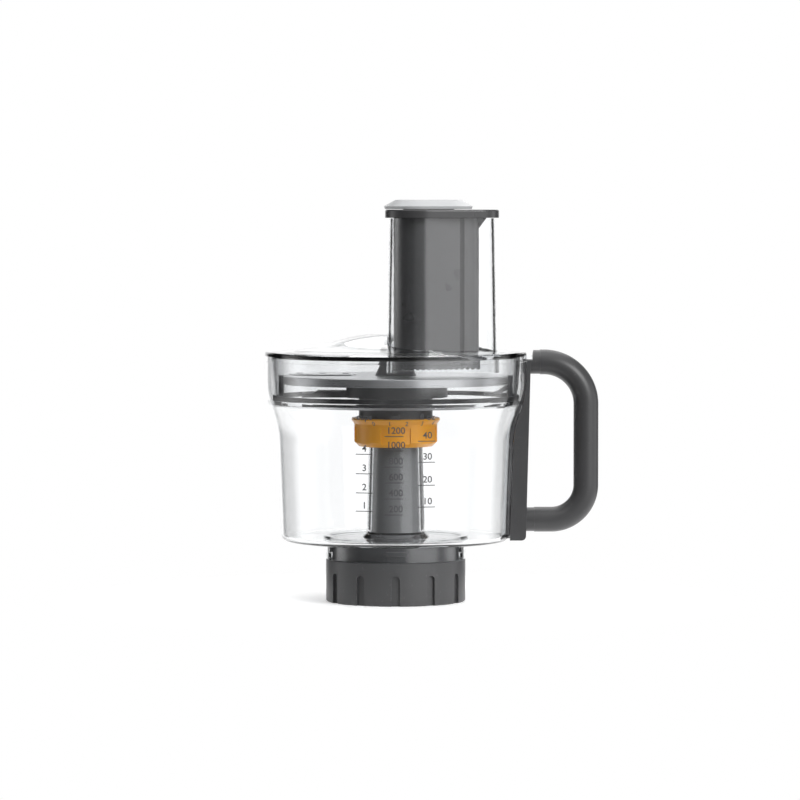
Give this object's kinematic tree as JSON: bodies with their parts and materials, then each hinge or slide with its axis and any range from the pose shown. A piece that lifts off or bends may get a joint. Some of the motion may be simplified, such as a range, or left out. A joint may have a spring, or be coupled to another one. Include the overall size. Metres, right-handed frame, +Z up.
{
  "type": "food processor",
  "caption": "Stand-mixer food processor: clear bowl with side handle, clear lid with feed tube and nested pushers, slicing disc with thickness ring, geared base.",
  "frame": {"origin": "on the bowl's axis, on the plane that the base collar stands on, which is the mouth of the socket for the mixer's outlet", "axes": "+Z up the bowl's axis, +X towards the handle, -Y to the front where the feed tube leans and the measuring scale is printed"},
  "size_m": [0.2257, 0.1772, 0.2712],
  "materials": {
    "dark_plastic": "satin dark grey",
    "pusher_plastic": "satin grey",
    "clear_plastic": "clear polished",
    "orange_plastic": "satin orange",
    "pale_plastic": "translucent pale grey",
    "seal_rubber": "matt black",
    "disc_steel": "brushed",
    "machined_steel": "turned",
    "gear_nylon": "moulded natural",
    "bush_bronze": "sintered",
    "ink_grey": "printed"
  },
  "bodies": {
    "base": {"base_housing": "dark_plastic", "gearbox_cover": "dark_plastic", "cover_screws": "machined_steel", "input_bush": "bush_bronze", "output_bush": "bush_bronze", "ring_gear": "gear_nylon"},
    "input": {"sun_gear_shaft": "machined_steel", "input_coupling": "machined_steel"},
    "planet_1": {"planet_gear_1": "gear_nylon"},
    "planet_2": {"planet_gear_2": "gear_nylon"},
    "planet_3": {"planet_gear_3": "gear_nylon"},
    "rotor": {"planet_carrier": "machined_steel", "planet_pins": "machined_steel", "drive_column": "dark_plastic", "disc_hub": "dark_plastic", "knob_insert": "bush_bronze", "slicing_disc": "disc_steel", "slicing_blade": "disc_steel", "blade_rivets": "disc_steel", "rim_guide_left": "dark_plastic", "rim_guide_right": "dark_plastic"},
    "thickness": {"thickness_ring": "orange_plastic", "ring_marks": "ink_grey"},
    "plate": {"thickness_plate": "dark_plastic"},
    "bowl": {"bowl": "clear_plastic", "tower_bush": "bush_bronze", "handle_bracket": "dark_plastic", "handle_grip": "dark_plastic", "handle_clip": "dark_plastic", "bracket_screws": "machined_steel", "grip_screws": "machined_steel", "measuring_marks": "ink_grey"},
    "seal": {"lid_seal": "seal_rubber"},
    "lid": {"lid": "clear_plastic"},
    "pusher": {"large_pusher": "pusher_plastic"},
    "small_pusher": {"small_pusher": "pusher_plastic", "pusher_cap": "pale_plastic"}
  },
  "joints": [
    {"name": "drive_spin", "type": "hinge", "parent": "base", "child": "rotor", "pos_m": [0, 0, 0.03], "axis": [0, 0, 1], "continuous": true},
    {"name": "input_spin", "type": "hinge", "parent": "base", "child": "input", "pos_m": [0, 0, 0.01], "axis": [0, 0, 1], "continuous": true},
    {"name": "planet_1_spin", "type": "hinge", "parent": "rotor", "child": "planet_1", "pos_m": [0, 0.0225, 0.02], "axis": [0, 0, 1], "continuous": true},
    {"name": "planet_2_spin", "type": "hinge", "parent": "rotor", "child": "planet_2", "pos_m": [-0.01949, -0.01125, 0.02], "axis": [0, 0, 1], "continuous": true},
    {"name": "planet_3_spin", "type": "hinge", "parent": "rotor", "child": "planet_3", "pos_m": [0.01949, -0.01125, 0.02], "axis": [0, 0, 1], "continuous": true},
    {"name": "thickness_turn", "type": "hinge", "parent": "rotor", "child": "thickness", "pos_m": [0, 0, 0.115], "axis": [0, 0, 1], "range_deg": [0, 115]},
    {"name": "plate_drop", "type": "slide", "parent": "rotor", "child": "plate", "axis": [0, 0, -1], "range_m": [0, 0.005]},
    {"name": "bowl_turn", "type": "hinge", "parent": "base", "child": "bowl", "pos_m": [0, 0, 0.04], "axis": [0, 0, 1], "range_deg": [0, 30]},
    {"name": "lid_lift", "type": "slide", "parent": "bowl", "child": "seal", "axis": [0, 0, 1], "range_m": [0, 0.06]},
    {"name": "lid_turn", "type": "hinge", "parent": "seal", "child": "lid", "pos_m": [0, 0, 0.165], "axis": [0, 0, 1], "range_deg": [0, 30]},
    {"name": "pusher_lift", "type": "slide", "parent": "lid", "child": "pusher", "axis": [0, 0, 1], "range_m": [0, 0.106]},
    {"name": "small_pusher_lift", "type": "slide", "parent": "pusher", "child": "small_pusher", "axis": [0, 0, 1], "range_m": [0, 0.108]}
  ],
  "couplings": [
    {"joint": "input_spin", "follows": "drive_spin", "ratio": 3.75},
    {"joint": "planet_1_spin", "follows": "drive_spin", "ratio": -3.1429},
    {"joint": "planet_2_spin", "follows": "drive_spin", "ratio": -3.1429},
    {"joint": "planet_3_spin", "follows": "drive_spin", "ratio": -3.1429},
    {"joint": "plate_drop", "follows": "thickness_turn", "m_per_rad": 0.0024911}
  ]
}
